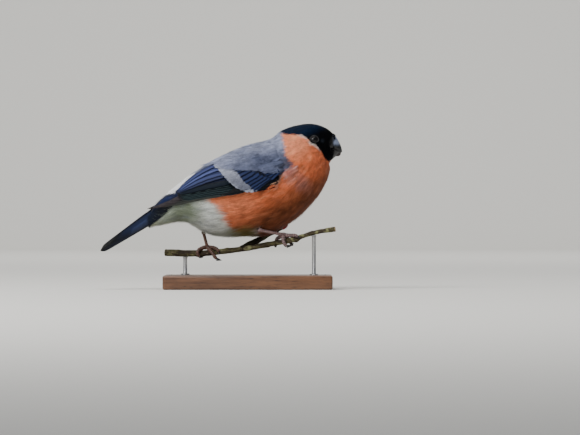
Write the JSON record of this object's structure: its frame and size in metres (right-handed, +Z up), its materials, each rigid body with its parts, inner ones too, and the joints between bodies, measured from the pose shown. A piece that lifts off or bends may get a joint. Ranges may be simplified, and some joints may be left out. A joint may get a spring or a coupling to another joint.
{
  "type": "bullfinch display model",
  "caption": "Still, life-size cock bullfinch leaning forward on a cut twig, held above a plain flat base by short rods.",
  "frame": {"origin": "centre of the base's underside", "axes": "+Z up, +X the way the bird looks, +Y towards the bird's left side"},
  "size_m": [0.1378, 0.06, 0.0945],
  "materials": {
    "orange_plumage": "soft feathers",
    "grey_plumage": "soft feathers",
    "black_plumage": "sleek feathers",
    "white_plumage": "downy feathers",
    "wing_feathers": "glossy quill feathers with a pale bar",
    "tail_feathers": "glossy quill feathers",
    "bill_horn": "smooth horn",
    "eye_glass": "wet gloss",
    "leg_skin": "scaly skin",
    "bark": "rough bark",
    "red_bud": "waxy bud scales",
    "base_wood": "satin wax",
    "rod_steel": "brushed"
  },
  "bodies": {
    "root": {"torso": "orange_plumage", "neck": "grey_plumage", "head": "black_plumage", "wing_r": "wing_feathers", "wing_l": "wing_feathers", "tail": "tail_feathers", "thigh_r": "white_plumage", "thigh_l": "white_plumage", "bill_upper": "bill_horn", "bill_lower": "bill_horn", "eye_r": "eye_glass", "eye_l": "eye_glass", "tarsus_r": "leg_skin", "tarsus_l": "leg_skin", "foot_r": "leg_skin", "foot_l": "leg_skin", "perch_twig": "bark", "perch_bud": "red_bud", "stand_base": "base_wood", "stand_rod_back": "rod_steel", "stand_rod_front": "rod_steel"}
  },
  "joints": []
}
